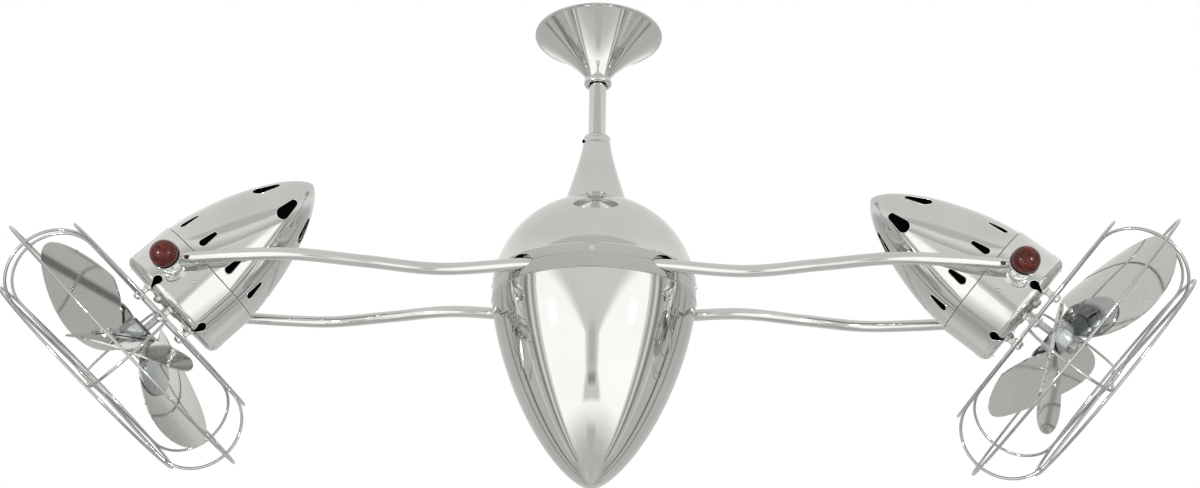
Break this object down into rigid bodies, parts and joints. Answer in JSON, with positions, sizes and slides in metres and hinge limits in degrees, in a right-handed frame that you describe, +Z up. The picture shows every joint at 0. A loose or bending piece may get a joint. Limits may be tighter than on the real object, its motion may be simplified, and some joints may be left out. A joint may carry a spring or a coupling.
{
  "type": "ceiling fan",
  "caption": "Twin head ceiling fan: bell housing on a downrod, paired arms, and caged metal blades on bullet motors that tilt.",
  "frame": {"origin": "centre of the canopy on the ceiling plane, at the top face of the hanger bracket", "axes": "+Z up to the ceiling, X from one head to the other, -Y towards the side the fan is seen from"},
  "size_m": [1.2525, 0.3386, 0.5259],
  "materials": {
    "zinc_steel": "zinc plated",
    "rubber": "matt",
    "chrome": "polished",
    "bearing_steel": "ground",
    "phenolic": "moulded",
    "satin_steel": "satin",
    "laminations": "stacked sheet",
    "mahogany": "gloss varnish",
    "blade_steel": "polished"
  },
  "bodies": {
    "ceiling_mount": {"hanger_bracket": "zinc_steel", "hanger_bolt": "zinc_steel", "hanger_bushing": "rubber", "canopy": "chrome", "canopy_collar": "chrome", "downrod": "chrome", "neck_collar": "chrome", "spindle": "bearing_steel", "upper_bearing_inner": "bearing_steel", "lower_bearing_inner": "bearing_steel", "slip_ring_drum": "phenolic", "spindle_nut": "zinc_steel"},
    "turret": {"upper_housing": "chrome", "housing_band": "chrome", "lower_cover": "chrome", "arm_carrier": "satin_steel", "upper_bearing_outer": "bearing_steel", "lower_bearing_outer": "bearing_steel", "brush_holder": "phenolic", "left_front_arm": "chrome", "left_rear_arm": "chrome", "right_front_arm": "chrome", "right_rear_arm": "chrome"},
    "left_head": {"left_motor_can": "chrome", "left_rear_shell": "chrome", "left_stator": "laminations", "left_front_plate": "satin_steel", "left_rear_bracket": "satin_steel", "left_guard": "chrome", "left_guard_badge": "chrome", "left_pivot_boss_front": "chrome", "left_pivot_boss_rear": "chrome"},
    "left_fan": {"left_rotor": "bearing_steel", "left_fan_hub": "satin_steel", "left_hub_nut": "zinc_steel", "left_blade_1": "blade_steel", "left_blade_2": "blade_steel", "left_blade_3": "blade_steel"},
    "left_front_knob": {"left_knob_front": "mahogany"},
    "left_rear_knob": {"left_knob_rear": "mahogany"},
    "right_head": {"right_motor_can": "chrome", "right_rear_shell": "chrome", "right_stator": "laminations", "right_front_plate": "satin_steel", "right_rear_bracket": "satin_steel", "right_guard": "chrome", "right_guard_badge": "chrome", "right_pivot_boss_front": "chrome", "right_pivot_boss_rear": "chrome"},
    "right_fan": {"right_rotor": "bearing_steel", "right_fan_hub": "satin_steel", "right_hub_nut": "zinc_steel", "right_blade_1": "blade_steel", "right_blade_2": "blade_steel", "right_blade_3": "blade_steel"},
    "right_front_knob": {"right_knob_front": "mahogany"},
    "right_rear_knob": {"right_knob_rear": "mahogany"}
  },
  "joints": [
    {"name": "axial_rotation", "type": "hinge", "parent": "ceiling_mount", "child": "turret", "pos_m": [0, 0, -0.3138], "axis": [0, 0, 1], "continuous": true},
    {"name": "left_head_tilt", "type": "hinge", "parent": "turret", "child": "left_head", "pos_m": [-0.43, 0, -0.3138], "axis": [0, 1, 0], "range_deg": [-43.7, 136.3]},
    {"name": "left_fan_spin", "type": "hinge", "parent": "left_head", "child": "left_fan", "pos_m": [-0.43, 0, -0.3138], "axis": [-0.6909, 0, -0.723], "continuous": true},
    {"name": "left_front_knob_turn", "type": "hinge", "parent": "left_head", "child": "left_front_knob", "pos_m": [-0.43, 0, -0.3138], "axis": [0, -1, 0], "range_deg": [0, 180]},
    {"name": "left_rear_knob_turn", "type": "hinge", "parent": "left_head", "child": "left_rear_knob", "pos_m": [-0.43, 0, -0.3138], "axis": [0, 1, 0], "range_deg": [0, 180]},
    {"name": "right_head_tilt", "type": "hinge", "parent": "turret", "child": "right_head", "pos_m": [0.43, 0, -0.3138], "axis": [0, -1, 0], "range_deg": [-49.5, 130.5]},
    {"name": "right_fan_spin", "type": "hinge", "parent": "right_head", "child": "right_fan", "pos_m": [0.43, 0, -0.3138], "axis": [0.7604, 0, -0.6494], "continuous": true},
    {"name": "right_front_knob_turn", "type": "hinge", "parent": "right_head", "child": "right_front_knob", "pos_m": [0.43, 0, -0.3138], "axis": [0, -1, 0], "range_deg": [0, 180]},
    {"name": "right_rear_knob_turn", "type": "hinge", "parent": "right_head", "child": "right_rear_knob", "pos_m": [0.43, 0, -0.3138], "axis": [0, 1, 0], "range_deg": [0, 180]}
  ]
}
